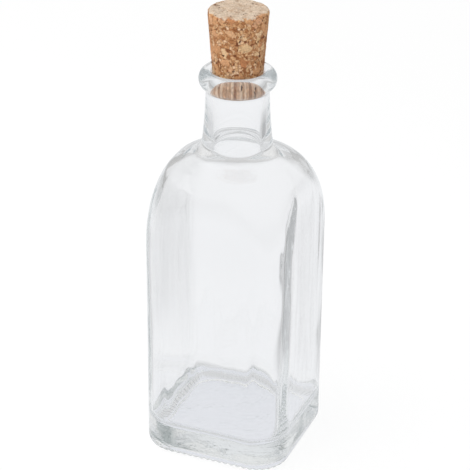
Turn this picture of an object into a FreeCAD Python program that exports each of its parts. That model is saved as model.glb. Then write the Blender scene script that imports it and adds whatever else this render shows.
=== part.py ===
"""A small square glass bottle with a tapered cork, in millimetres.

+Z is up, and the origin is the centre of the base on the surface that the bottle stands on.
The glass is one blown piece: a square body with rounded corners, a shoulder that turns the
square into a circle, a round neck, and a rounded bead at the mouth. The cork is a separate
tapered plug, which pulls straight up out of the neck.
"""

import FreeCAD, Part
import math
import os
from collections import namedtuple

Vector = FreeCAD.Vector
AXIS = Vector(0, 0, 1)
DIAGONAL = math.sqrt(2)

# Body
bottle_height = 114.1
body_side = 43.0
corner_radius = 9.7
heel_radius = 2.6

# Shoulder: seen along the diagonal, a quarter of an ellipse from the body's corner to the curve
# at the foot of the neck. The flat panels fade into this dome over the given share of its run
shoulder_rise = 23.5
panel_fade_ratio = 0.92
panel_crown = 8.0
shoulder_sections = 8

# Neck and bead
neck_foot_radius = 9.8
neck_top_radius = 8.7
neck_length = 17.7
neck_fillet = 2.2
bead_radius = 10.7
bead_height = 5.3
lip_radius = 1.0

# Hollow
side_wall = 2.3
shoulder_wall = 2.0
inner_corner_radius = 7.4
inner_neck_fillet = 4.0
mouth_radius = 7.05
bore_foot_radius = 6.9
base_thickness = 6.8
inner_heel_radius = 4.8
inner_floor_corner_radius = 9.5
heel_sections = 7

# Underside
recess_margin = 5.6
recess_corner_radius = 8.0
recess_depth = 1.3
recess_edge_radius = 0.9

# Knurling: grooves that start on the ring that the bottle stands on and climb out through the heel
knurl_pitch = 2.0
knurl_reach = 4.0
knurl_climb = 24.0
knurl_flank = 51.0

# Cork
cork_length = 23.1
cork_insertion = 6.0
cork_taper_angle = 4.2
cork_clearance = 0.05
cork_top_chamfer = 0.4
cork_bottom_chamfer = 0.7

# One skin of the glass, outer or inner: the body's half width and corner radius, the foot radius
# of the neck or bore, the radius of the curve that leads into it, and the rise of the shoulder
Skin = namedtuple("Skin", "half corner neck curve rise")

outer = Skin(body_side / 2, corner_radius, neck_foot_radius, neck_fillet, shoulder_rise)
inner = Skin(
    body_side / 2 - side_wall,
    inner_corner_radius,
    bore_foot_radius,
    inner_neck_fillet,
    shoulder_rise - shoulder_wall,
)

# Heights, from the mouth down: the straight body takes what the neck and the shoulder leave
groove_z = bottle_height - bead_height
neck_foot_z = groove_z - neck_length
shoulder_start = neck_foot_z - neck_fillet - shoulder_rise


def corner_reach(half, radius):
    """Distance from the axis to a rounded square's corner."""
    return half * DIAGONAL - radius * (DIAGONAL - 1)


def body_reach(skin):
    """How far the straight body's corners reach from the axis."""
    return corner_reach(skin.half, skin.corner)


def dome_centre(skin):
    """Centre of the shoulder's ellipse, as a distance from the axis along the diagonal."""
    return skin.neck + skin.curve


def dome_run(skin):
    """How far the shoulder runs in from the body's corner, along the diagonal."""
    return body_reach(skin) - dome_centre(skin)


def panel_reach(skin, reach):
    """How far the middle of a flat panel is from the axis, where the corner has the given reach.

    It leaves the body's half width without a kink and joins the circle without a kink.
    """
    run = panel_fade_ratio * dome_run(skin)
    power = run / (run - (body_reach(skin) - skin.half))
    share = (body_reach(skin) - reach) / run
    return skin.half - run / power * share**power


def rounded_square(panel, corner, crown, z):
    """Closed wire of four panels and four corner arcs.

    panel is the reach to the middle of a side, corner the reach along the diagonal, and crown the
    angle in degrees through which each panel bends on either side of its middle.
    """
    bend = math.radians(crown)
    centre = (corner - panel) / (DIAGONAL - 1 - math.tan(bend / 2))
    radius = corner - centre * DIAGONAL
    start = Vector(centre + radius * math.cos(bend), centre + radius * math.sin(bend), z)
    middle = Vector(corner / DIAGONAL, corner / DIAGONAL, z)
    end = Vector(start.y, start.x, z)
    edges = []
    for quarter in range(4):
        turn = FreeCAD.Rotation(AXIS, 90 * quarter)
        side_start = turn.multVec(Vector(start.x, -start.y, z))
        side_middle = turn.multVec(Vector(panel, 0, z))
        corner_points = [turn.multVec(point) for point in (start, middle, end)]
        if crown > 0:
            edges.append(Part.Arc(side_start, side_middle, corner_points[0]).toShape())
        else:
            edges.append(Part.LineSegment(side_start, corner_points[0]).toShape())
        edges.append(Part.Arc(*corner_points).toShape())
    return Part.Wire(edges)


def straight_section(half, radius, z):
    return rounded_square(half, corner_reach(half, radius), 0, z)


def shoulder(skin):
    """The part of the shoulder where the square turns into a circle."""
    sections = []
    for index in range(shoulder_sections):
        share = index / (shoulder_sections - 1)
        angle = share * math.acos(1 - panel_fade_ratio)
        reach = dome_centre(skin) + dome_run(skin) * math.cos(angle)
        z = shoulder_start + skin.rise * math.sin(angle)
        sections.append(rounded_square(panel_reach(skin, reach), reach, panel_crown * share, z))
    return Part.makeLoft(sections, True)


def dome_foot(skin):
    """Point of the shoulder's profile from which it is round."""
    angle = math.acos(1 - panel_fade_ratio)
    x = dome_centre(skin) + dome_run(skin) * math.cos(angle)
    return Vector(x, 0, shoulder_start + skin.rise * math.sin(angle))


def dome_edges(skin):
    """Profile of the round part of the shoulder and of the curve up into the neck or the bore."""
    centre = Vector(dome_centre(skin), 0, shoulder_start)
    start = math.acos(1 - panel_fade_ratio)
    if dome_run(skin) > skin.rise:
        ellipse = Part.Ellipse(centre, dome_run(skin), skin.rise)
        major = Vector(1, 0, 0)
        turn = 0
    else:
        ellipse = Part.Ellipse(centre, skin.rise, dome_run(skin))
        major = Vector(0, 0, 1)
        turn = math.pi / 2
    ellipse.Axis = Vector(0, -1, 0)
    ellipse.XAxis = major
    dome = Part.ArcOfEllipse(ellipse, start - turn, math.pi / 2 - turn).toShape()
    top = centre + Vector(0, 0, skin.rise)
    bend = skin.curve * math.sqrt(0.5)
    curve = Part.Arc(
        top,
        top + Vector(-bend, 0, skin.curve - bend),
        top + Vector(-skin.curve, 0, skin.curve),
    )
    return [dome, curve.toShape()]


def polyline(points):
    return [Part.LineSegment(a, b).toShape() for a, b in zip(points, points[1:])]


def turned(edges):
    """Solid turned about the axis from a closed profile in the XZ plane."""
    return Part.Face(Part.Wire(Part.sortEdges(edges)[0])).revolve(Vector(), AXIS, 360)


def outer_top():
    """Round part of the shoulder, neck and bead, turned in one profile."""
    foot = dome_foot(outer)
    neck_middle_radius = neck_top_radius + (neck_foot_radius - neck_top_radius) * 0.36
    neck = Part.Arc(
        Vector(neck_foot_radius, 0, neck_foot_z),
        Vector(neck_middle_radius, 0, (neck_foot_z + groove_z) / 2),
        Vector(neck_top_radius, 0, groove_z),
    ).toShape()
    crown_radius = (mouth_radius + bead_radius) / 2
    bead = Part.Arc(
        Vector(neck_top_radius, 0, groove_z),
        Vector(bead_radius, 0, groove_z + bead_height * 0.55),
        Vector(crown_radius, 0, bottle_height),
    ).toShape()
    closing = polyline(
        [
            Vector(crown_radius, 0, bottle_height),
            Vector(0, 0, bottle_height),
            Vector(0, 0, foot.z),
            foot,
        ]
    )
    return turned(dome_edges(outer) + [neck, bead] + closing)


def outer_shape():
    """The bottle as if it were solid glass."""
    body = Part.Face(straight_section(outer.half, outer.corner, 0)).extrude(AXIS * shoulder_start)
    foot_edges = [edge for edge in body.Edges if edge.BoundBox.ZMax < 1e-6]
    body = body.makeFillet(heel_radius, foot_edges)
    return body.fuse([shoulder(outer), outer_top()]).removeSplitter()


def hollow_heel():
    """Rounded bottom of the hollow, flat where it meets the thick base."""
    wires = []
    for index in range(heel_sections):
        angle = math.pi / 2 * index / (heel_sections - 1)
        inset = inner_heel_radius * (1 - math.sin(angle))
        z = base_thickness + inner_heel_radius * (1 - math.cos(angle))
        share = 1 - math.sin(angle)
        corner = inner.corner + (inner_floor_corner_radius - inner.corner) * share
        wires.append(straight_section(inner.half - inset, corner, z))
    return Part.makeLoft(wires, True)


def hollow_top():
    """Round part of the hollow's shoulder, and the bore up through the mouth."""
    foot = dome_foot(inner)
    bore_foot_z = shoulder_start + inner.rise + inner.curve
    lip_z = bottle_height - lip_radius
    bore = polyline([Vector(bore_foot_radius, 0, bore_foot_z), Vector(mouth_radius, 0, lip_z)])
    bend = lip_radius * math.sqrt(0.5)
    lip = Part.Arc(
        Vector(mouth_radius, 0, lip_z),
        Vector(mouth_radius + lip_radius - bend, 0, lip_z + bend),
        Vector(mouth_radius + lip_radius, 0, bottle_height),
    ).toShape()
    above = bottle_height + lip_radius
    closing = polyline(
        [
            Vector(mouth_radius + lip_radius, 0, bottle_height),
            Vector(mouth_radius + lip_radius, 0, above),
            Vector(0, 0, above),
            Vector(0, 0, foot.z),
            foot,
        ]
    )
    return turned(dome_edges(inner) + bore + [lip] + closing)


def hollow_shape():
    """The space inside the bottle, open through the mouth."""
    z_straight = base_thickness + inner_heel_radius
    section = straight_section(inner.half, inner.corner, z_straight)
    body = Part.Face(section).extrude(AXIS * (shoulder_start - z_straight))
    return body.fuse([hollow_heel(), shoulder(inner), hollow_top()]).removeSplitter()


def underside_recess():
    """Shallow panel that lifts the middle of the base clear of the table."""
    half = outer.half - recess_margin
    recess = Part.Face(straight_section(half, recess_corner_radius, -recess_depth)).extrude(
        AXIS * 2 * recess_depth
    )
    top_edges = [edge for edge in recess.Edges if edge.BoundBox.ZMin > recess_depth - 1e-6]
    return recess.makeFillet(recess_edge_radius, top_edges)


def groove(near, far):
    """One groove that runs outwards along +X and climbs, from near to far from the axis."""
    half_width = math.tan(math.radians(knurl_flank))
    triangle = Part.makePolygon(
        [
            Vector(near, -half_width, -1),
            Vector(near, half_width, -1),
            Vector(near, 0, 0),
            Vector(near, -half_width, -1),
        ]
    )
    climb = math.tan(math.radians(knurl_climb))
    return Part.Face(triangle).extrude(Vector(far - near, 0, (far - near) * climb))


def knurling():
    """All the grooves: parallel ones along each side, and a fan of them round each corner."""
    near = outer.half - knurl_reach
    far = outer.half + heel_radius
    fan_centre = outer.half - outer.corner
    side_count = max(1, round(2 * fan_centre / knurl_pitch))
    fan_count = max(1, round(math.pi / 2 * outer.corner / knurl_pitch))
    cutters = []
    for quarter in range(4):
        for index in range(side_count):
            cutter = groove(near, far)
            shift = (index + 0.5) / side_count * 2 * fan_centre - fan_centre
            cutter.translate(Vector(0, shift, 0))
            cutter.rotate(Vector(), AXIS, 90 * quarter)
            cutters.append(cutter)
        for index in range(fan_count):
            cutter = groove(near - fan_centre, far - fan_centre)
            cutter.rotate(Vector(), AXIS, 90 * (index + 0.5) / fan_count)
            cutter.translate(Vector(fan_centre, fan_centre, 0))
            cutter.rotate(Vector(), AXIS, 90 * quarter)
            cutters.append(cutter)
    return cutters


def glass_bottle():
    bottle = outer_shape().cut(hollow_shape()).cut(underside_recess())
    return bottle.cut(knurling())


def cork_stopper():
    """Tapered cork, pushed in until its side meets the mouth just below the lip."""
    taper = math.tan(math.radians(cork_taper_angle))
    bottom_z = bottle_height - cork_insertion
    top_z = bottom_z + cork_length
    bottom_radius = mouth_radius - cork_clearance - taper * (cork_insertion - lip_radius)
    top_radius = bottom_radius + taper * cork_length
    profile = [
        Vector(0, 0, bottom_z),
        Vector(bottom_radius - cork_bottom_chamfer, 0, bottom_z),
        Vector(bottom_radius + taper * cork_bottom_chamfer, 0, bottom_z + cork_bottom_chamfer),
        Vector(top_radius - taper * cork_top_chamfer, 0, top_z - cork_top_chamfer),
        Vector(top_radius - cork_top_chamfer, 0, top_z),
        Vector(0, 0, top_z),
        Vector(0, 0, bottom_z),
    ]
    return turned(polyline(profile))


def solid_of(shape):
    """The one solid in a shape."""
    return shape.Solids[0] if len(shape.Solids) == 1 else shape


os.makedirs("parts", exist_ok=True)
for node, shape in {"glass_bottle": glass_bottle(), "cork_stopper": cork_stopper()}.items():
    solid = solid_of(shape)
    solid.exportStep("parts/" + node + ".step")
    print(node, "volume", round(solid.Volume, 1), "mm3, valid", solid.isValid())
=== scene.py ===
"""A small square glass bottle with its cork, dressed for a picture on a white table.

Lengths are in metres, +Z is up, and the origin is the centre of the base.
"""

import math
import bpy
from mathutils import Matrix, Vector


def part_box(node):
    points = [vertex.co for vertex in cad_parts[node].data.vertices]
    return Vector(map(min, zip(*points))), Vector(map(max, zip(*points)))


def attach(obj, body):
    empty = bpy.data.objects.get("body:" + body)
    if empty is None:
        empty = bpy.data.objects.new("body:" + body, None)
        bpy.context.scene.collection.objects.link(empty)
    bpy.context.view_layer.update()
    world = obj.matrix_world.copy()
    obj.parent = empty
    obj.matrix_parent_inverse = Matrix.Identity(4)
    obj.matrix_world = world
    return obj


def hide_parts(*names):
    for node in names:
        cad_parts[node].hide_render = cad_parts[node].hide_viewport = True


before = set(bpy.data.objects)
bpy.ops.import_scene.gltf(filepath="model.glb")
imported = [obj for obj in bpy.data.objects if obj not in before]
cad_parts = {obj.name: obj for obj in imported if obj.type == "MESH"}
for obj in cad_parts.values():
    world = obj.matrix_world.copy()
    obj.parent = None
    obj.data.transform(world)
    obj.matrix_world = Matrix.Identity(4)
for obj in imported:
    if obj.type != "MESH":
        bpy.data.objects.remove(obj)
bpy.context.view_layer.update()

scene = bpy.context.scene
scene.view_settings.view_transform = "Standard"


# Camera: a long lens, well above the table, that looks at the bottle with its wide face turned
# a little to the left. The picture is square and cuts off the cork's far rim and the lowest
# corner of the base.
MM = 0.001
picture_pixels = 470
sensor_width = 36.0
focal_pixels = 1850
pixel_size = 0.282 * MM
camera_azimuth = math.radians(22.27)
camera_tilt = math.radians(26.97)
camera_roll = math.radians(0.53)
aim_height = 63.77 * MM
aim_shift = -0.385 * MM

lens = bpy.data.cameras.new("long_lens")
lens.sensor_width = sensor_width
lens.lens = focal_pixels / picture_pixels * sensor_width
lens.clip_start = 0.01
lens.clip_end = 20
camera = bpy.data.objects.new("camera", lens)
scene.collection.objects.link(camera)
right = Vector((math.cos(camera_azimuth), math.sin(camera_azimuth), 0))
forward = Vector((
    -math.sin(camera_azimuth) * math.cos(camera_tilt),
    math.cos(camera_azimuth) * math.cos(camera_tilt),
    -math.sin(camera_tilt),
))
aim = right * aim_shift + Vector((0, 0, aim_height))
turn = Matrix((right, right.cross(forward), -forward)).transposed()
camera.matrix_world = (
    Matrix.Translation(aim - forward * focal_pixels * pixel_size)
    @ turn.to_4x4()
    @ Matrix.Rotation(camera_roll, 4, "Z")
)
scene.camera = camera


# Table and light: a table of white paper that runs on as the background, a tent of white cloth
# over it, and two soft lamps. The camera sees both plain white. The glass sees them darker towards
# the horizon, with painted shade under its own base and where a grey card would lie beside it.
table_reach = 3.0
table_white = (0.9, 0.9, 0.9, 1)
paper_near = (0.895, 0.905, 0.925, 1)
paper_far = (0.63, 0.64, 0.65, 1)
base_shade_reach = 30 * MM
base_shade = [(0.0, (0.84, 0.85, 0.89)), (0.58, (0.84, 0.85, 0.89)), (0.66, (0.70,) * 3),
              (0.73, (0.70,) * 3), (0.84, (1.0,) * 3)]
# Painted shade that only the glass sees, where a grey card would lie beside the bottle
painted_card_bearing = math.radians(64)
painted_card_half_width = math.radians(9)
painted_card_half_width_faded = math.radians(21)
card_shade = 0.5
cloth_by_height = [(0.0, (0.63,) * 3), (0.12, (0.70,) * 3), (0.3, (0.84,) * 3),
                   (0.85, (0.95,) * 3)]
cloth_on_cork = 0.55
# How much painted shade the flags put on light thrown back inside the glass
dimming = 0.30


def node(tree, kind, inputs=None, **options):
    """Adds a node. inputs maps an input's name or number to a value or another node's output."""
    made = tree.nodes.new(kind)
    for option, value in options.items():
        setattr(made, option, value)
    for key, value in (inputs or {}).items():
        if isinstance(value, bpy.types.NodeSocket):
            tree.links.new(value, made.inputs[key])
        else:
            made.inputs[key].default_value = value
    return made


def maths(tree, operation, *values):
    """One step of arithmetic."""
    return node(tree, "ShaderNodeMath", dict(enumerate(values)), operation=operation).outputs[0]


def product(tree, *values):
    """All the values multiplied together."""
    result = values[0]
    for value in values[1:]:
        result = maths(tree, "MULTIPLY", result, value)
    return result


def remap(tree, value, low, high, start, end, **options):
    """The value's place between low and high, as a number between start and end."""
    return node(tree, "ShaderNodeMapRange", {0: value, 1: low, 2: high, 3: start, 4: end},
                **options).outputs[0]


def mix_colour(tree, share, colour, other):
    """A colour mixed towards another."""
    return node(tree, "ShaderNodeMix", {0: share, 6: colour, 7: other},
                data_type="RGBA").outputs[2]


def mix_value(tree, share, value, other):
    """A number mixed towards another."""
    return node(tree, "ShaderNodeMix", {0: share, 2: value, 3: other},
                data_type="FLOAT").outputs[0]


def vectors(tree, operation, first, second):
    """One step of arithmetic with two vectors."""
    return node(tree, "ShaderNodeVectorMath", {0: first, 1: second},
                operation=operation).outputs[0]


def scaled(tree, vector, factor):
    """A vector or a colour times a number."""
    return node(tree, "ShaderNodeVectorMath", {0: vector, "Scale": factor},
                operation="SCALE").outputs[0]


def length_of(tree, vector):
    """How long a vector is."""
    return node(tree, "ShaderNodeVectorMath", {0: vector}, operation="LENGTH").outputs["Value"]


def parts_of(tree, vector):
    """The X, Y and Z of a vector, by name."""
    return node(tree, "ShaderNodeSeparateXYZ", {0: vector}).outputs


def stepped_ramp(tree, value, steps):
    """A colour ramp with a stop for each (position, colour)."""
    ramp = node(tree, "ShaderNodeValToRGB", {0: value})
    elements = ramp.color_ramp.elements
    elements[0].position, elements[-1].position = steps[0][0], steps[-1][0]
    for position, _ in steps[1:-1]:
        elements.new(position)
    for element, (_, colour) in zip(elements, steps):
        element.color = (*colour, 1)
    return ramp.outputs[0]


def left_after_painted_shade(tree, path, kept):
    """Share of glow left after painted shade on light that the glass has thrown back inside a wall.
    Such light comes from beside the bottle, and the shade stands in for a photographer's dark flags
    there. kept is 1 where what the light reaches is too near or too high for a flag to hide it."""
    went_in = maths(tree, "GREATER_THAN", path.outputs["Transmission Depth"], 1.5)
    turned = maths(tree, "MINIMUM", path.outputs["Glossy Depth"], 1.0)
    loss = remap(tree, path.outputs["Glossy Depth"], 1.0, 6.0, dimming, 0.0)
    return maths(tree, "SUBTRACT", 1.0, product(tree, went_in, turned, loss, maths(
        tree, "SUBTRACT", 1.0, kept)))


bpy.ops.mesh.primitive_circle_add(vertices=96, radius=table_reach, fill_type="NGON")
table = bpy.context.object
table.name = "white_table"
table_material = bpy.data.materials.new("white_table")
table_material.use_nodes = True
tree = table_material.node_tree
tree.nodes.clear()
path = node(tree, "ShaderNodeLightPath")
matt = node(tree, "ShaderNodeBsdfDiffuse", {"Color": table_white})
spot = node(tree, "ShaderNodeTexCoord").outputs["Object"]
away = length_of(tree, spot)
spot = parts_of(tree, spot)

# The paper as the glass sees it: its own tone, the painted shade under the base, and painted shade
# where a grey card would lie
to_horizon = remap(tree, away, 0.24, 0.60, 0.0, 1.0)
paper = mix_colour(tree, to_horizon, paper_near, paper_far)
across = maths(tree, "MAXIMUM", maths(tree, "ABSOLUTE", spot["X"]),
               maths(tree, "ABSOLUTE", spot["Y"]))
shaded = vectors(tree, "MULTIPLY", paper, stepped_ramp(
    tree, maths(tree, "DIVIDE", across, base_shade_reach), base_shade))
# Painted shade in a grey card's place, which only light through the glass sees
bearing = maths(tree, "ARCTAN2", spot["Y"], spot["X"])
off_card = maths(tree, "ABSOLUTE", maths(tree, "SUBTRACT", bearing, painted_card_bearing))
painted_card_shade = product(
    tree,
    remap(tree, off_card, painted_card_half_width, painted_card_half_width_faded, 1.0, 0.0),
    remap(tree, away, 0.035, 0.06, 0.0, 1.0),
    remap(tree, away, 0.15, 0.20, 1.0, 0.0),
    maths(tree, "GREATER_THAN", path.outputs["Transmission Depth"], 1.5),
    card_shade,
)
shaded = scaled(tree, shaded, maths(tree, "SUBTRACT", 1.0, painted_card_shade))
seen = mix_colour(tree, path.outputs["Is Camera Ray"], shaded, (1, 1, 1, 1))
# Where the painted flag shade is lifted: near the bottle, and mostly far past the flags
close_by = remap(tree, away, 0.03, 0.07, 1.0, 0.0)
past_painted_flags = remap(tree, away, 0.15, 0.21, 0.0, 0.8)
glow = node(tree, "ShaderNodeEmission", {
    "Color": seen,
    "Strength": left_after_painted_shade(tree, path, maths(tree, "MAXIMUM", close_by, past_painted_flags)),
})

# How much of it glows: the rest is matt paper, which keeps the bottle's shadow
camera_glow = maths(tree, "ADD", 0.8, maths(tree, "MULTIPLY", to_horizon, 0.2))
by_glass = maths(tree, "MAXIMUM", path.outputs["Is Glossy Ray"],
                 path.outputs["Is Transmission Ray"])
glowing = maths(tree, "ADD", maths(tree, "MULTIPLY", path.outputs["Is Camera Ray"], camera_glow),
                maths(tree, "MULTIPLY", by_glass, 0.92))
mixed = node(tree, "ShaderNodeMixShader", {0: glowing, 1: matt.outputs[0], 2: glow.outputs[0]})
node(tree, "ShaderNodeOutputMaterial", {"Surface": mixed.outputs[0]})
table.data.materials.append(table_material)

# The tent of cloth
tent = bpy.data.worlds.new("tent_of_cloth")
scene.world = tent
tent.use_nodes = True
tree = tent.node_tree
tree.nodes.clear()
path = node(tree, "ShaderNodeLightPath")
height = parts_of(tree, node(tree, "ShaderNodeTexCoord").outputs["Generated"])["Z"]
cloth = stepped_ramp(tree, height, cloth_by_height)
cloth = mix_value(tree, path.outputs["Is Camera Ray"], cloth, 1.0)
cloth = mix_value(tree, path.outputs["Is Diffuse Ray"], cloth, cloth_on_cork)
# Overhead, the cloth gets no painted flag shade
overhead = remap(tree, height, 0.2, 0.5, 0.0, 1.0)
background = node(tree, "ShaderNodeBackground", {
    "Color": (1, 1, 1, 1),
    "Strength": maths(tree, "MULTIPLY", cloth, left_after_painted_shade(tree, path, overhead)),
})
node(tree, "ShaderNodeOutputWorld", {"Surface": background.outputs[0]})


def soft_lamp(name, place, aim_at, size, power):
    """A square lamp that faces a point. Glass doesn't show it, only what it lights."""
    data = bpy.data.lights.new(name, "AREA")
    data.size = size
    data.energy = power
    lamp = bpy.data.objects.new(name, data)
    lamp.location = place
    lamp.rotation_euler = (Vector(aim_at) - Vector(place)).to_track_quat("-Z", "Y").to_euler()
    lamp.visible_glossy = False
    lamp.visible_transmission = False
    scene.collection.objects.link(lamp)


soft_lamp("overhead_softbox", (-0.35, -0.25, 0.95), (0, 0, 0.07), 0.7, 8.0)
soft_lamp("front_fill", (0.5, -0.9, 0.45), (0, 0, 0.08), 0.5, 3.0)


# Glass bottle: one piece of clear flint glass, blown in a mould. The body is square with rounded
# corners, the shoulder turns the square into the round neck, and the mouth has a rounded bead.
# Its skin is one closed surface: under the base, up the outside, over the lip, down the inside.
bottle_height = 114.1 * MM
body_half = 21.5 * MM
corner_radius = 9.7 * MM
heel_radius = 2.6 * MM
shoulder_rise = 23.5 * MM
panel_fade = 0.92
neck_length = 17.7 * MM
neck_foot_radius = 9.8 * MM
neck_top_radius = 8.7 * MM
neck_curve = 2.2 * MM
neck_flare = 1.6
bead_radius = 10.7 * MM
bead_height = 5.3 * MM
bead_inset = 0.4 * MM
lip_radius = 1.0 * MM
side_wall = 2.3 * MM
shoulder_wall = 2.0 * MM
inner_corner_radius = 5.8 * MM
mouth_radius = 7.05 * MM
bore_foot_radius = 6.9 * MM
bore_curve = 4.5 * MM
base_thickness = 6.8 * MM
inner_heel_radius = 4.8 * MM
floor_corner_radius = 9.5 * MM
floor_dome = 0.6 * MM
recess_half = 17.5 * MM
recess_corner_radius = 6.8 * MM
recess_depth = 1.3 * MM
recess_edge_radius = 0.9 * MM
ring_edge_radius = 0.35 * MM
knurl_start = 18.4 * MM
knurl_climb = math.tan(math.radians(30))
knurl_drop = 0.8 * MM
knurl_count = 80
columns_per_groove = 4
panel_swell = 0.45 * MM
corner_swell = 1.1 * MM
panel_ripple = 0.03 * MM
corner_ripple = 0.45 * MM
ripple_reach = 30 * MM
even_above = bottle_height - 10 * MM
pole_size = 1e-6

groove_z = bottle_height - bead_height
neck_foot_z = groove_z - neck_length
shoulder_start = neck_foot_z - neck_curve - shoulder_rise


def corner_reach(half, radius):
    """Distance from the axis to a rounded square's corner."""
    return half * math.sqrt(2) - radius * (math.sqrt(2) - 1)


def arc_points(centre, radii, start, end, count):
    """Points on an arc of an ellipse, from one angle to another in degrees."""
    angles = [math.radians(start + (end - start) * i / count) for i in range(count + 1)]
    return [(centre[0] + radii[0] * math.cos(a), centre[1] + radii[1] * math.sin(a))
            for a in angles]


def soften(points, corner, reach, rounds):
    """Rounds the profile near its corner point by drawing each point towards its neighbours."""
    for _ in range(rounds):
        old = list(points)
        for i in range(max(1, corner - reach), min(len(points) - 1, corner + reach + 1)):
            points[i] = tuple((a + 2 * b + c) / 4
                              for a, b, c in zip(old[i - 1], old[i], old[i + 1]))


def round_profile(points):
    """Points (radius, height) of a turned part as (corner reach, panel reach, height)."""
    return [(radius, radius, z) for radius, z in points]


def square_profile(points):
    """Points (half width, corner radius, height) as (corner reach, panel reach, height)."""
    return [(corner_reach(half, radius), half, z) for half, radius, z in points]


def straight_side(half, radius, low, high):
    """The body's upright side between two heights, without its ends."""
    return square_profile((half, radius, low + (high - low) * i / 20) for i in range(1, 20))


def shoulder_profile(half, corner, neck_radius, curve, rise, count):
    """The shoulder as (reach at the corner, reach at the panel, height), from its foot to the neck.

    Along the diagonal it is a quarter of an ellipse, then a small curve up into the neck. The
    panel bends in ever faster, until it fades into the round dome."""
    foot = corner_reach(half, corner)
    centre = neck_radius + curve
    run = panel_fade * (foot - centre)
    power = run / (run - (foot - half))
    profile = []
    for reach, lift in arc_points((centre, 0), (foot - centre, rise), 0, 90, count):
        share = (foot - reach) / run
        panel = half - run / power * share ** power if share < 1 else reach
        profile.append((reach, panel, shoulder_start + lift))
    bend = arc_points((centre, shoulder_start + rise + curve), (curve, curve), -90, -180, 8)
    return profile + round_profile(bend[1:])


# Under the base: the recessed panel, its rounded edge, the bearing ring and the heel
underside = [
    (recess_half * s, max(recess_corner_radius * s, pole_size), recess_depth)
    for s in (0, 0.12, 0.25, 0.38, 0.5, 0.62, 0.72, 0.8, 0.87, 0.93)
]
underside += [
    (recess_half + x, recess_corner_radius, z)
    for x, z in arc_points((-recess_edge_radius, recess_depth - recess_edge_radius),
                           (recess_edge_radius, recess_edge_radius), 90, 0, 6)
]
ring_inner = recess_half + ring_edge_radius
underside += [
    (ring_inner + x, recess_corner_radius, ring_edge_radius + z)
    for x, z in arc_points((0, 0), (ring_edge_radius, ring_edge_radius), 180, 270, 4)
]
ring_outer = body_half - heel_radius
heel_corner = corner_radius - heel_radius
underside += [
    (ring_inner + (ring_outer - ring_inner) * i / 12,
     recess_corner_radius + (heel_corner - recess_corner_radius) * i / 12,
     0.0)
    for i in range(1, 13)
]
underside += [
    (ring_outer + x, heel_corner + x, heel_radius + z)
    for x, z in arc_points((0, 0), (heel_radius, heel_radius), -90, 0, 14)[1:]
]
outside = square_profile(underside)

# Up the outside: the straight body, the shoulder, the neck, the bead and the lip. The curve at the
# foot of the neck and the groove under the bead are softened, as fire-polished glass is.
outside += straight_side(body_half, corner_radius, heel_radius, shoulder_start)
outside += shoulder_profile(body_half, corner_radius, neck_foot_radius, neck_curve,
                            shoulder_rise, 44)
neck_bend = len(outside) - 6
outside += round_profile(
    (neck_foot_radius + (neck_top_radius - neck_foot_radius) * (1 - (1 - i / 14) ** neck_flare),
     neck_foot_z + neck_length * i / 14)
    for i in range(1, 15)
)
groove = len(outside) - 1
soften(outside, neck_bend, 12, 30)
bead_middle = (mouth_radius + bead_radius) / 2 - bead_inset
outside += round_profile(arc_points((bead_middle, groove_z + bead_height / 2),
                                    (bead_radius - bead_middle, bead_height / 2), -78, 90, 26))
soften(outside, groove, 2, 3)
outside += round_profile(arc_points((mouth_radius + lip_radius, bottle_height - lip_radius),
                                    (lip_radius, lip_radius), 90, 180, 8))

# Down the inside: the bore, the hollow's shoulder, its straight sides, its heel and its floor
inner_half = body_half - side_wall
inner_shoulder = shoulder_profile(inner_half, inner_corner_radius, bore_foot_radius, bore_curve,
                                  shoulder_rise - shoulder_wall, 40)
bore_top_z = bottle_height - lip_radius
bore_foot_z = inner_shoulder[-1][2]
soften(inner_shoulder, 40, 14, 40)


def bore_radius(z):
    """The bore's radius at a height: it narrows evenly from the mouth to its foot."""
    return mouth_radius + (bore_foot_radius - mouth_radius) * (bore_top_z - z) / (
        bore_top_z - bore_foot_z)


bore_rings = [bore_top_z + (bore_foot_z - bore_top_z) * i / 24 for i in range(1, 24)]
inside = round_profile((bore_radius(z), z) for z in bore_rings)
inside += inner_shoulder[::-1]
inner_foot_z = base_thickness + inner_heel_radius
inside += straight_side(inner_half, inner_corner_radius, shoulder_start, inner_foot_z)
hollow_floor = []
for i in range(15):
    angle = math.pi / 2 * i / 14
    share = 1 - math.cos(angle)
    hollow_floor.append((
        inner_half - inner_heel_radius * share,
        inner_corner_radius + (floor_corner_radius - inner_corner_radius) * share,
        inner_foot_z - inner_heel_radius * math.sin(angle),
    ))
floor_half = inner_half - inner_heel_radius
hollow_floor += [
    (floor_half * s, max(floor_corner_radius * s, pole_size), base_thickness)
    for s in (0.93, 0.85, 0.76, 0.66, 0.54, 0.42, 0.3, 0.18, 0.08, 0)
]
inside += square_profile(hollow_floor)


def stations(name, profile, **marks):
    """An object of loose points, one for each ring of a skin, and the numbers that it carries."""
    mesh = bpy.data.meshes.new(name)
    mesh.from_pydata(profile, [], [])
    for mark, values in marks.items():
        mesh.attributes.new(mark, "FLOAT", "POINT").data.foreach_set("value", values)
    made = bpy.data.objects.new(name, mesh)
    scene.collection.objects.link(made)
    return made


def position_of(tree):
    """Where each point of the skin is."""
    return node(tree, "GeometryNodeInputPosition").outputs[0]


def moved(tree, surface, offset):
    """The surface with its points moved."""
    return node(tree, "GeometryNodeSetPosition",
                {"Geometry": surface, "Offset": offset}).outputs[0]


def upward(tree, distance):
    """A move straight up."""
    return node(tree, "ShaderNodeCombineXYZ", {2: distance}).outputs[0]


def outward(tree, distance):
    """A move square to the surface."""
    return scaled(tree, node(tree, "GeometryNodeInputNormal").outputs[0], distance)


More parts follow.
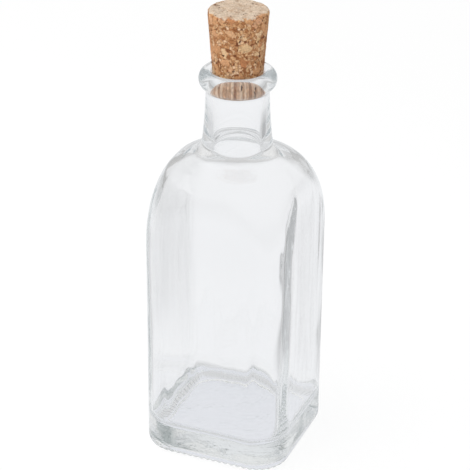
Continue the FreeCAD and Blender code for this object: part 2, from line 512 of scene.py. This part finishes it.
def ring_skin(name, *sizes):
    """Rule for a skin of rings. Each station says how far the ring reaches at its corners (X), at
    its panels (Y) and how high it is (Z). A ring is four corner arcs with straight panels between
    them, and a circle where both reaches are the same. sizes name the inputs that later steps
    use. Gives the tree, its inputs, the skin, the place round the ring from 0 to 1, and a way
    to read what the stations carry."""
    tree = bpy.data.node_groups.new(name, "GeometryNodeTree")
    tree.is_modifier = True
    face = tree.interface
    face.new_socket("Stations", in_out="INPUT", socket_type="NodeSocketGeometry")
    face.new_socket("Columns", in_out="INPUT", socket_type="NodeSocketInt")
    face.new_socket("Material", in_out="INPUT", socket_type="NodeSocketMaterial")
    for size in sizes:
        face.new_socket(size, in_out="INPUT", socket_type="NodeSocketFloat")
    face.new_socket("Skin", in_out="OUTPUT", socket_type="NodeSocketGeometry")
    inputs = node(tree, "NodeGroupInput").outputs

    rings = node(tree, "GeometryNodeAttributeDomainSize", {0: inputs["Stations"]},
                 component="MESH").outputs["Point Count"]
    grid = node(tree, "GeometryNodeMeshGrid", {
        "Size X": 1.0, "Size Y": 1.0, "Vertices Y": rings,
        "Vertices X": maths(tree, "ADD", inputs["Columns"], 1)})
    place = parts_of(tree, position_of(tree))
    up_share = maths(tree, "ADD", place["Y"], 0.5)
    station = maths(tree, "ROUND", product(tree, up_share, maths(tree, "SUBTRACT", rings, 1)))
    kept = node(tree, "GeometryNodeCaptureAttribute", {0: grid.outputs["Mesh"]})
    for title, value in (("Round", maths(tree, "ADD", place["X"], 0.5)), ("Station", station)):
        kept.capture_items.new("FLOAT", title)
        tree.links.new(value, kept.inputs[title])
    around, station = kept.outputs["Round"], kept.outputs["Station"]

    def carried(value, kind="FLOAT"):
        """What the ring's station carries."""
        return node(tree, "GeometryNodeSampleIndex",
                    {"Geometry": inputs["Stations"], "Value": value, "Index": station},
                    data_type=kind).outputs["Value"]

    def mark(title):
        return carried(node(tree, "GeometryNodeInputNamedAttribute",
                            {"Name": title}).outputs["Attribute"])

    ring = parts_of(tree, carried(position_of(tree), "FLOAT_VECTOR"))
    reach, panel = ring["X"], ring["Y"]
    radius = maths(tree, "DIVIDE", maths(tree, "SUBTRACT", product(tree, panel, math.sqrt(2)),
                                         reach), math.sqrt(2) - 1)
    radius = maths(tree, "MAXIMUM", 1e-7, radius)
    centre = maths(tree, "SUBTRACT", panel, radius)

    # From the middle of one panel round its corner to the middle of the next: straight, arc,
    # straight. That is a quarter of the ring, turned to each of the four sides.
    quarter = product(tree, around, 4.0)
    along = maths(tree, "SUBTRACT", product(tree, maths(tree, "FRACT", quarter), 2.0), 1.0)
    walked = product(tree, along, maths(tree, "ADD", centre, product(tree, radius, math.pi / 4)))
    bend = maths(tree, "MINIMUM", math.pi / 4, maths(tree, "DIVIDE", walked, radius))
    bend = maths(tree, "MAXIMUM", -math.pi / 4, bend)
    beyond = maths(tree, "SUBTRACT", walked, product(tree, bend, radius))
    angle = maths(tree, "ADD", bend, math.pi / 4)
    cosine, sine = maths(tree, "COSINE", angle), maths(tree, "SINE", angle)
    x = maths(tree, "SUBTRACT", maths(tree, "ADD", centre, product(tree, radius, cosine)),
              product(tree, beyond, sine))
    y = maths(tree, "ADD", maths(tree, "ADD", centre, product(tree, radius, sine)),
              product(tree, beyond, cosine))
    point = node(tree, "ShaderNodeCombineXYZ", {0: x, 1: y, 2: ring["Z"]})
    turned = node(tree, "ShaderNodeVectorRotate",
                  {"Vector": point.outputs[0],
                   "Angle": product(tree, maths(tree, "FLOOR", quarter), math.pi / 2)},
                  rotation_type="Z_AXIS")
    placed = node(tree, "GeometryNodeSetPosition",
                  {"Geometry": kept.outputs[0], "Position": turned.outputs[0]})
    closed = node(tree, "GeometryNodeMergeByDistance", {0: placed.outputs[0], "Distance": 2e-6})
    return tree, inputs, closed.outputs[0], around, mark


def finish_skin(tree, inputs, skin):
    """Ends a skin's tree: smooths it and gives it its material."""
    smooth = node(tree, "GeometryNodeSetShadeSmooth", {0: skin})
    real = node(tree, "GeometryNodeRealizeInstances", {0: smooth.outputs[0]})
    finished = node(tree, "GeometryNodeSetMaterial",
                    {0: real.outputs[0], "Material": inputs["Material"]})
    node(tree, "NodeGroupOutput", {0: finished.outputs[0]})


def grown(name, source, tree, values):
    """The plain mesh that a tree makes from its stations, as a new object at the origin."""
    rule = source.modifiers.new(name, "NODES")
    rule.node_group = tree
    for item in tree.interface.items_tree:
        if item.item_type == "SOCKET" and item.in_out == "INPUT" and item.name in values:
            rule[item.identifier] = values[item.name]
    mesh = bpy.data.meshes.new_from_object(
        source.evaluated_get(bpy.context.evaluated_depsgraph_get()))
    source.modifiers.remove(rule)
    bpy.data.objects.remove(source)
    made = bpy.data.objects.new(name, mesh)
    mesh.name = name
    scene.collection.objects.link(made)
    return made


# Clear glass, green-grey where it is thick, with a chilled, mottled panel in the recess. Light may
# meet many walls, and what is still inside after 20 goes straight on. Shadows fall through it.
scene.cycles.max_bounces = 32
scene.cycles.glossy_bounces = 32
scene.cycles.transmission_bounces = 32

flint = bpy.data.materials.new("flint_glass")
flint.use_nodes = True
tree = flint.node_tree
tree.nodes.clear()
where = node(tree, "ShaderNodeTexCoord").outputs["Object"]
mottle = node(tree, "ShaderNodeTexNoise", {"Vector": where, "Scale": 330.0, "Detail": 3.0})
in_recess = remap(tree, parts_of(tree, where)["Z"], recess_depth + 0.1 * MM,
                  recess_depth + 0.3 * MM, 0.45, 0.0)
chilled = node(tree, "ShaderNodeBump",
               {"Strength": in_recess, "Distance": 0.4 * MM, "Height": mottle.outputs[0]})
clear = node(tree, "ShaderNodeBsdfPrincipled", {
    "Base Color": (1, 1, 1, 1), "Roughness": 0.0, "IOR": 1.52, "Transmission Weight": 1.0,
    "Normal": chilled.outputs[0]})
tint = node(tree, "ShaderNodeVolumeAbsorption", {"Color": (0.30, 0.38, 0.38, 1), "Density": 5.5})
straight_on = node(tree, "ShaderNodeBsdfTransparent", {"Color": (0.92, 0.93, 0.93, 1)})
path = node(tree, "ShaderNodeLightPath")
spent = maths(tree, "GREATER_THAN", path.outputs["Ray Depth"], 20.0)
glass = node(tree, "ShaderNodeMixShader", {
    0: maths(tree, "MAXIMUM", path.outputs["Is Shadow Ray"], spent),
    1: clear.outputs[0], 2: straight_on.outputs[0]})
node(tree, "ShaderNodeOutputMaterial", {"Surface": glass.outputs[0], "Volume": tint.outputs[0]})


def unevenness(z):
    """How uneven the blown skin is: even in the bore where the cork sits, full at the shoulder,
    and less again at the floor."""
    down = min(1.0, max(0.0, (even_above - z) / (even_above - shoulder_start)))
    return down * down * (3 - 2 * down) * (0.5 + 0.5 * min(1.0, z / (2 * inner_foot_z)))


# What each ring of the skin carries. knurl is how high the grooves reach there, and -1 m where
# there are none. blown and ripple are the strengths of the two kinds of wave. dome and middle
# say how far a ring of the hollow's floor is domed.
skin = outside + inside
plain = [0.0] * len(outside)
knurl = [(panel - knurl_start) * knurl_climb if z < heel_radius and i < len(outside) else -1.0
         for i, (reach, panel, z) in enumerate(skin)]
blown = plain + [unevenness(z) for reach, panel, z in inside]
ripple = plain + [unevenness(z) * max(0.0, 1 - abs(z - shoulder_start) / ripple_reach)
                  for reach, panel, z in inside]
dome = [0.0 if i < len(skin) - len(hollow_floor) else
        min(1.0, (inner_foot_z - z) / inner_heel_radius) ** 2
        for i, (reach, panel, z) in enumerate(skin)]
middle = [min(1.0, panel / floor_half) for reach, panel, z in skin]
bottle_rings = stations("bottle_rings", skin, knurl=knurl, blown=blown, ripple=ripple,
                        dome=dome, middle=middle)

tree, inputs, surface, around, mark = ring_skin(
    "blown_bottle", "Groove Count", "Groove Drop", "Floor Dome", "Panel Swell", "Corner Swell",
    "Panel Ripple", "Corner Ripple")

# The grooves lift the bearing ring and the heel, and a land stays down between each two
groove_share = maths(tree, "FRACT", product(tree, around, inputs["Groove Count"]))
land = maths(tree, "ABSOLUTE", maths(tree, "SUBTRACT", product(tree, groove_share, 2.0), 1.0))
roof = maths(tree, "SUBTRACT", mark("knurl"), product(tree, land, inputs["Groove Drop"]))
lift = maths(tree, "SUBTRACT", roof, parts_of(tree, position_of(tree))["Z"])
surface = moved(tree, surface, upward(tree, maths(tree, "MAXIMUM", 0.0, lift)))

# The hollow's floor is domed, but not in its corners
on_panel = maths(tree, "POWER", maths(tree, "COSINE", product(tree, around, 4 * math.pi)), 2.0)
at_corner = maths(tree, "SUBTRACT", 1.0, on_panel)
round_middle = maths(tree, "SUBTRACT", 1.0, product(tree, mark("middle"), at_corner))
surface = moved(tree, surface, upward(
    tree, product(tree, mark("dome"), inputs["Floor Dome"], round_middle)))


def wave(title, stretch, detail, kind):
    """How far a wave moves the inner skin. It is drawn out along the glass and is stronger
    towards the corners, where the blown glass is thinnest."""
    drawn = vectors(tree, "MULTIPLY", position_of(tree), stretch)
    noise = node(tree, "ShaderNodeTexNoise", {"Vector": drawn, "Scale": 1.0, "Detail": detail})
    depth = maths(tree, "ADD", inputs["Panel " + kind],
                  product(tree, at_corner, inputs["Corner " + kind]))
    return product(tree, maths(tree, "SUBTRACT", noise.outputs[0], 0.5), mark(title), depth)


surface = moved(tree, surface, outward(tree, maths(
    tree, "ADD", wave("blown", (75.0, 75.0, 22.0), 2.5, "Swell"),
    wave("ripple", (290.0, 290.0, 17.0), 1.0, "Ripple"))))
finish_skin(tree, inputs, surface)

bottle = grown("flint_glass_bottle", bottle_rings, tree, {
    "Columns": columns_per_groove * knurl_count, "Material": flint,
    "Groove Count": float(knurl_count), "Groove Drop": knurl_drop, "Floor Dome": floor_dome,
    "Panel Swell": panel_swell, "Corner Swell": corner_swell,
    "Panel Ripple": panel_ripple, "Corner Ripple": corner_ripple})
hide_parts("glass_bottle")
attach(bottle, "bottle")


# Cork: one tapered plug of pressed cork granules. It is ground to its taper, sanded flat on top,
# worn along its top edge, and pushed into the mouth, where the bore squeezes it.
cork_low, cork_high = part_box("cork_stopper")
cork_bottom_z, cork_top_z = cork_low[2], cork_high[2]
cork_top_radius = cork_high[0]
cork_taper = math.tan(math.radians(4.2))
cork_bottom_radius = cork_top_radius - cork_taper * (cork_top_z - cork_bottom_z)
bottom_edge = 0.45 * MM
worn_edge = 0.9 * MM
bore_gap = 0.03 * MM
side_rings = 120
cork_columns = 360
crevice_depth = 0.10 * MM
crumb_depth = 0.10 * MM
pore_depth = 0.30 * MM
pore_brown = (0.07, 0.025, 0.012, 1)
crevice_brown = (0.19, 0.06, 0.02, 1)

cork_profile = [((cork_bottom_radius - bottom_edge) * i / 30, cork_bottom_z) for i in range(30)]
cork_profile += [(cork_bottom_radius - bottom_edge + x, cork_bottom_z + bottom_edge + z)
                 for x, z in arc_points((0, 0), (bottom_edge, bottom_edge), -90, -20, 3)]
side_length = cork_top_z - cork_bottom_z - bottom_edge - worn_edge
for i in range(side_rings):
    z = cork_bottom_z + bottom_edge + side_length * i / side_rings
    radius = cork_bottom_radius + (cork_top_radius - cork_bottom_radius) * i / side_rings
    if z < bore_top_z:
        radius = max(radius, bore_radius(z) - bore_gap)
    cork_profile.append((radius, z))
cork_profile += [(cork_top_radius - worn_edge + x, cork_top_z - worn_edge + z)
                 for x, z in arc_points((0, 0), (worn_edge, worn_edge), 0, 90, 6)]
cork_profile += [((cork_top_radius - worn_edge) * (1 - i / 40), cork_top_z)
                 for i in range(1, 41)]


def pressed_granules(tree, place):
    """Pattern of pressed cork, the same for its relief and its colours: (large granule or not,
    tone of a large one, tone of a small one, crevice round a small one, pore)."""
    drift = node(tree, "ShaderNodeTexNoise", {"Vector": place, "Scale": 900.0, "Detail": 2.0})
    bent = vectors(tree, "ADD", scaled(tree, drift.outputs["Color"], 1.3 * MM), place)

    def cells(scale, feature="F1"):
        return node(tree, "ShaderNodeTexVoronoi", {"Vector": bent, "Scale": scale},
                    feature=feature).outputs

    def rising(value, low, high):
        return remap(tree, value, low, high, 0.0, 1.0, interpolation_type="SMOOTHSTEP")

    large = parts_of(tree, cells(430.0)["Color"])
    small = parts_of(tree, cells(1250.0)["Color"])
    inside_large = rising(cells(430.0, "DISTANCE_TO_EDGE")["Distance"], 0.01, 0.10)
    inside_small = rising(cells(1250.0, "DISTANCE_TO_EDGE")["Distance"], 0.0, 0.16)
    whole = product(tree, rising(large["X"], 0.60, 0.64), inside_large)
    crevice = product(tree, maths(tree, "SUBTRACT", 1.0, inside_small),
                      maths(tree, "SUBTRACT", 1.0, whole))
    holes = cells(820.0)
    pore = product(tree, maths(tree, "SUBTRACT", 1.0, rising(holes["Distance"], 0.20, 0.33)),
                   rising(parts_of(tree, holes["Color"])["Y"], 0.56, 0.60))
    return whole, large["Y"], small["X"], crevice, pore


pressed_cork = bpy.data.materials.new("pressed_cork")
pressed_cork.use_nodes = True
tree = pressed_cork.node_tree
tree.nodes.clear()
where = node(tree, "ShaderNodeTexCoord").outputs["Object"]
place = parts_of(tree, where)
whole, large_tone, small_tone, crevice, pore = pressed_granules(tree, where)
large_granules = stepped_ramp(tree, large_tone, [
    (0.0, (0.41, 0.17, 0.07)), (0.3, (0.52, 0.27, 0.125)), (0.6, (0.58, 0.31, 0.17)),
    (0.8, (0.57, 0.37, 0.19)), (1.0, (0.65, 0.44, 0.26))])
crumbs = stepped_ramp(tree, small_tone, [
    (0.0, (0.16, 0.05, 0.018)), (0.1, (0.34, 0.14, 0.05)), (0.4, (0.49, 0.25, 0.11)),
    (0.8, (0.58, 0.35, 0.18)), (1.0, (0.70, 0.48, 0.31))])
tone = mix_colour(tree, whole, crumbs, large_granules)
tone = mix_colour(tree, product(tree, crevice, 0.7), tone, crevice_brown)

# Pale sanding dust on the flat top, with a ragged border along the worn edge
chips = node(tree, "ShaderNodeTexNoise", {"Vector": where, "Scale": 520.0, "Detail": 3.0})
ragged = maths(tree, "ADD", place["Z"], product(
    tree, maths(tree, "SUBTRACT", chips.outputs[0], 0.5), 2.6 * MM))
rim_dust = remap(tree, ragged, cork_top_z - 0.45 * MM, cork_top_z - 0.10 * MM, 0.0, 0.85)
from_axis = length_of(tree, node(tree, "ShaderNodeCombineXYZ",
                                 {0: place["X"], 1: place["Y"]}).outputs[0])
face_dust = remap(tree, from_axis, cork_top_radius - 1.6 * MM, cork_top_radius - 0.7 * MM,
                  0.8, 0.0)
on_top = maths(tree, "GREATER_THAN", place["Z"], cork_top_z - 0.5 * MM)
dusty = maths(tree, "MAXIMUM", rim_dust, product(tree, face_dust, on_top))
dust = stepped_ramp(tree, chips.outputs[0], [
    (0.3, (0.33, 0.25, 0.18)), (0.45, (0.49, 0.40, 0.31)), (0.7, (0.58, 0.49, 0.39))])
tone = mix_colour(tree, dusty, tone, dust)

# Upright creases where the bore squeezes it, and pale streaks between them that are painted
# highlight along the mouth's rim
crease = node(tree, "ShaderNodeTexNoise", {
    "Vector": vectors(tree, "MULTIPLY", where, (1500.0, 1500.0, 50.0)),
    "Scale": 1.0, "Detail": 2.0})
creases_and_highlight = stepped_ramp(tree, crease.outputs[0], [
    (0.34, (0.30, 0.13, 0.06)), (0.48, (0.66, 0.42, 0.27)), (0.62, (0.88, 0.68, 0.52))])
squeezed_and_highlit = remap(tree, place["Z"], bottle_height - 1.3 * MM, bottle_height - 0.3 * MM, 0.75, 0.0)
tone = mix_colour(tree, squeezed_and_highlit, tone, creases_and_highlight)

# Dark pores, and the fine grain of cut cells over it all
tone = mix_colour(tree, pore, tone, pore_brown)
grain = node(tree, "ShaderNodeTexNoise", {"Vector": where, "Scale": 2300.0, "Detail": 4.0})
tone = scaled(tree, tone, remap(tree, grain.outputs[0], 0.3, 0.7, 0.72, 1.22))
bump = node(tree, "ShaderNodeBump",
            {"Strength": 0.5, "Distance": 0.1 * MM, "Height": grain.outputs[0]})
cork_shader = node(tree, "ShaderNodeBsdfPrincipled",
                   {"Base Color": tone, "Roughness": 0.9, "Normal": bump.outputs[0]})
node(tree, "ShaderNodeOutputMaterial", {"Surface": cork_shader.outputs[0]})

# The relief: crevices between the granules, crumbs that stand at different heights, and pores
tree, inputs, surface, around, mark = ring_skin("ground_cork", "Crevice Depth", "Crumb Depth",
                                                "Pore Depth")
whole, large_tone, small_tone, crevice, pore = pressed_granules(tree, position_of(tree))
sunk = product(tree, small_tone, maths(tree, "SUBTRACT", 1.0, whole), inputs["Crumb Depth"])
sunk = maths(tree, "ADD", product(tree, crevice, inputs["Crevice Depth"]), sunk)
sunk = maths(tree, "ADD", sunk, product(tree, pore, inputs["Pore Depth"]))
surface = moved(tree, surface, outward(tree, product(tree, sunk, -1.0)))
finish_skin(tree, inputs, surface)

cork = grown("pressed_cork_plug", stations("cork_rings", round_profile(cork_profile)), tree, {
    "Columns": cork_columns, "Material": pressed_cork, "Crevice Depth": crevice_depth,
    "Crumb Depth": crumb_depth, "Pore Depth": pore_depth})
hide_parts("cork_stopper")
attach(cork, "cork")
